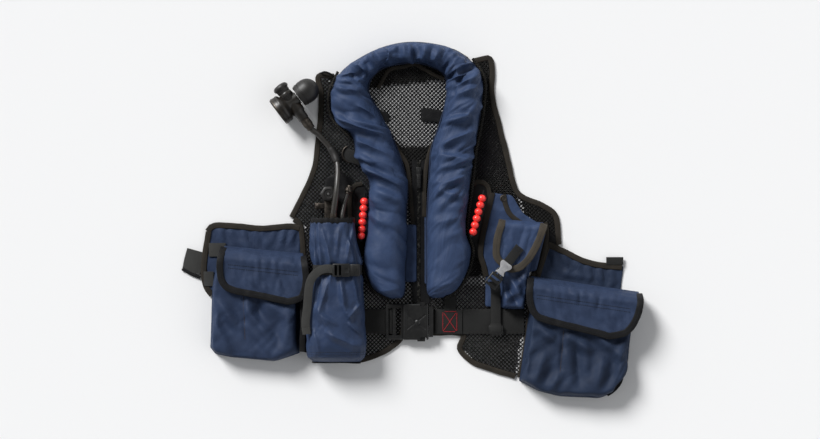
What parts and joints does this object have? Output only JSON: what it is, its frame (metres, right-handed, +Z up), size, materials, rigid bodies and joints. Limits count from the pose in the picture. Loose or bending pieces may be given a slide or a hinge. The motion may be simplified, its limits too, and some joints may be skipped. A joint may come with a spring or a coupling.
{
  "type": "inflatable life jacket",
  "caption": "Utility life vest laid flat: navy inflatable collar, black mesh body, belt, bag pockets, breathing set and bead pull handles.",
  "frame": {"origin": "centre of the jacket's footprint on the surface it lies on", "axes": "+Z up out of the jacket's front, +Y towards the neck, +X towards the side with the small pouch"},
  "size_m": [0.9129, 0.71, 0.0838],
  "materials": {
    "navy_cloth": "proofed nylon, matt with a slight sheen",
    "black_mesh": "open knitted mesh",
    "black_webbing": "woven webbing",
    "grey_webbing": "woven webbing",
    "black_plastic": "moulded, fine grain",
    "grey_plastic": "moulded, satin",
    "red_beads": "moulded, glossy",
    "black_rubber": "satin",
    "bladder_film": "coated nylon",
    "bottle_paint": "satin paint",
    "bare_metal": "brushed",
    "dark_metal": "black coated, worn"
  },
  "bodies": {
    "vest": {"back_mesh": "black_mesh", "front_mesh_left": "black_mesh", "front_mesh_right": "black_mesh", "yoke_left": "navy_cloth", "yoke_right": "navy_cloth", "side_pocket_right": "navy_cloth", "grommet": "dark_metal", "collar_cover": "navy_cloth", "collar_back": "navy_cloth", "bladder": "bladder_film", "oral_tube": "black_rubber", "gas_cylinder_left": "bare_metal", "gas_cylinder_right": "bare_metal", "inflator_left": "black_plastic", "inflator_right": "black_plastic", "zip_half_left": "black_webbing", "zip_half_right": "black_webbing", "zip_guard": "navy_cloth", "belt_left": "black_webbing", "belt_right": "black_webbing", "belt_end_left": "black_webbing", "waist_buckle_male": "black_plastic", "pocket_left": "navy_cloth", "pocket_right": "navy_cloth", "bottle_pouch": "navy_cloth", "pouch_strap": "black_webbing", "strap_tail": "grey_webbing", "pouch_buckle_male": "black_plastic", "breathing_bottle": "bottle_paint", "first_stage": "dark_metal", "air_hose": "black_rubber", "hose_sleeve": "black_rubber", "fill_hose": "black_rubber", "fill_fitting": "dark_metal", "demand_valve_body": "black_plastic", "exhaust_cap": "black_rubber", "mouthpiece": "black_rubber", "small_pouch": "navy_cloth", "pouch_lower_strap": "black_webbing", "strap_keeper": "black_plastic"},
    "waist_female": {"waist_buckle_female": "black_plastic"},
    "latch_upper": {"waist_latch_upper": "black_plastic"},
    "latch_lower": {"waist_latch_lower": "black_plastic"},
    "pouch_buckle": {"pouch_buckle_female": "black_plastic"},
    "left_flap": {"pocket_left_flap": "navy_cloth"},
    "right_flap": {"pocket_right_flap": "navy_cloth"},
    "small_flap": {"small_pouch_flap": "navy_cloth", "small_buckle_female": "grey_plastic"},
    "small_male": {"small_buckle_male": "black_plastic"},
    "slider": {"zip_slider": "black_plastic"},
    "pull_tab": {"zip_pull": "black_plastic"},
    "left_handle": {"bead_handle_left": "red_beads"},
    "right_handle": {"bead_handle_right": "red_beads"},
    "left_lever": {"inflator_lever_left": "grey_plastic"},
    "right_lever": {"inflator_lever_right": "grey_plastic"},
    "knob": {"valve_knob": "black_plastic"},
    "nut": {"swivel_nut": "dark_metal"},
    "purge": {"purge_button": "bare_metal"},
    "ball_cover": {"mouthpiece_cover": "black_rubber"}
  },
  "joints": [
    {"name": "waist_buckle_slide", "type": "slide", "parent": "vest", "child": "waist_female", "axis": [-1, 0, 0], "range_m": [0, 0.03]},
    {"name": "latch_upper_squeeze", "type": "hinge", "parent": "vest", "child": "latch_upper", "pos_m": [0.036, -0.1813, 0.014], "axis": [0, 0, 1], "range_deg": [0, 8], "stiffness_Nm_per_rad": 0.6},
    {"name": "latch_lower_squeeze", "type": "hinge", "parent": "vest", "child": "latch_lower", "pos_m": [0.036, -0.2263, 0.014], "axis": [0, 0, -1], "range_deg": [0, 8], "stiffness_Nm_per_rad": 0.6},
    {"name": "pouch_buckle_slide", "type": "slide", "parent": "vest", "child": "pouch_buckle", "axis": [-1, 0, 0], "range_m": [0, 0.013]},
    {"name": "left_pocket_flap_lift", "type": "hinge", "parent": "vest", "child": "left_flap", "pos_m": [-0.37, -0.054, 0.0075], "axis": [-0.9955, 0.0951, 0], "range_deg": [0, 70]},
    {"name": "right_pocket_flap_lift", "type": "hinge", "parent": "vest", "child": "right_flap", "pos_m": [0.241, -0.114, 0.0075], "axis": [-0.9891, 0.1472, 0], "range_deg": [0, 70]},
    {"name": "small_flap_lift", "type": "hinge", "parent": "vest", "child": "small_flap", "pos_m": [0.184, -0.001, 0.0116], "axis": [-0.9964, 0.0851, 0], "range_deg": [0, 60]},
    {"name": "small_buckle_slide", "type": "slide", "parent": "vest", "child": "small_male", "axis": [-0.6157, -0.788, 0], "range_m": [0, 0.012]},
    {"name": "zip_slide", "type": "slide", "parent": "vest", "child": "slider", "axis": [0, -1, 0], "range_m": [0, 0.22]},
    {"name": "zip_pull_swing", "type": "hinge", "parent": "slider", "child": "pull_tab", "pos_m": [0.0175, 0.096, 0.0131], "axis": [-1, 0, 0], "range_deg": [0, 150]},
    {"name": "left_handle_pull", "type": "slide", "parent": "vest", "child": "left_handle", "axis": [0.15, -0.3, 0.9421], "range_m": [0, 0.03]},
    {"name": "left_lever_fire", "type": "hinge", "parent": "vest", "child": "left_lever", "pos_m": [-0.0734, 0.052, 0.0222], "axis": [1, 0, 0], "range_deg": [0, 60]},
    {"name": "right_handle_pull", "type": "slide", "parent": "vest", "child": "right_handle", "axis": [0, -0.3, 0.9539], "range_m": [0, 0.03]},
    {"name": "right_lever_fire", "type": "hinge", "parent": "vest", "child": "right_lever", "pos_m": [0.1054, 0.052, 0.0222], "axis": [1, 0, 0], "range_deg": [0, 60]},
    {"name": "knob_turn", "type": "hinge", "parent": "vest", "child": "knob", "pos_m": [-0.162, 0.051, 0.033], "axis": [0, 0, 1], "range_deg": [0, 330]},
    {"name": "nut_swivel", "type": "hinge", "parent": "vest", "child": "nut", "pos_m": [-0.2029, 0.18977, 0.0294], "axis": [-0.6018, 0.7986, 0], "continuous": true},
    {"name": "purge_press", "type": "slide", "parent": "vest", "child": "purge", "axis": [0.7986, 0.6018, 0], "range_m": [0, 0.0025], "stiffness_N_per_m": 900},
    {"name": "ball_cover_pull", "type": "slide", "parent": "vest", "child": "ball_cover", "axis": [0.7986, 0.6018, 0], "range_m": [0, 0.018]}
  ],
  "couplings": [
    {"joint": "left_lever_fire", "follows": "left_handle_pull", "rad_per_m": 34.5},
    {"joint": "right_lever_fire", "follows": "right_handle_pull", "rad_per_m": 34.5}
  ]
}
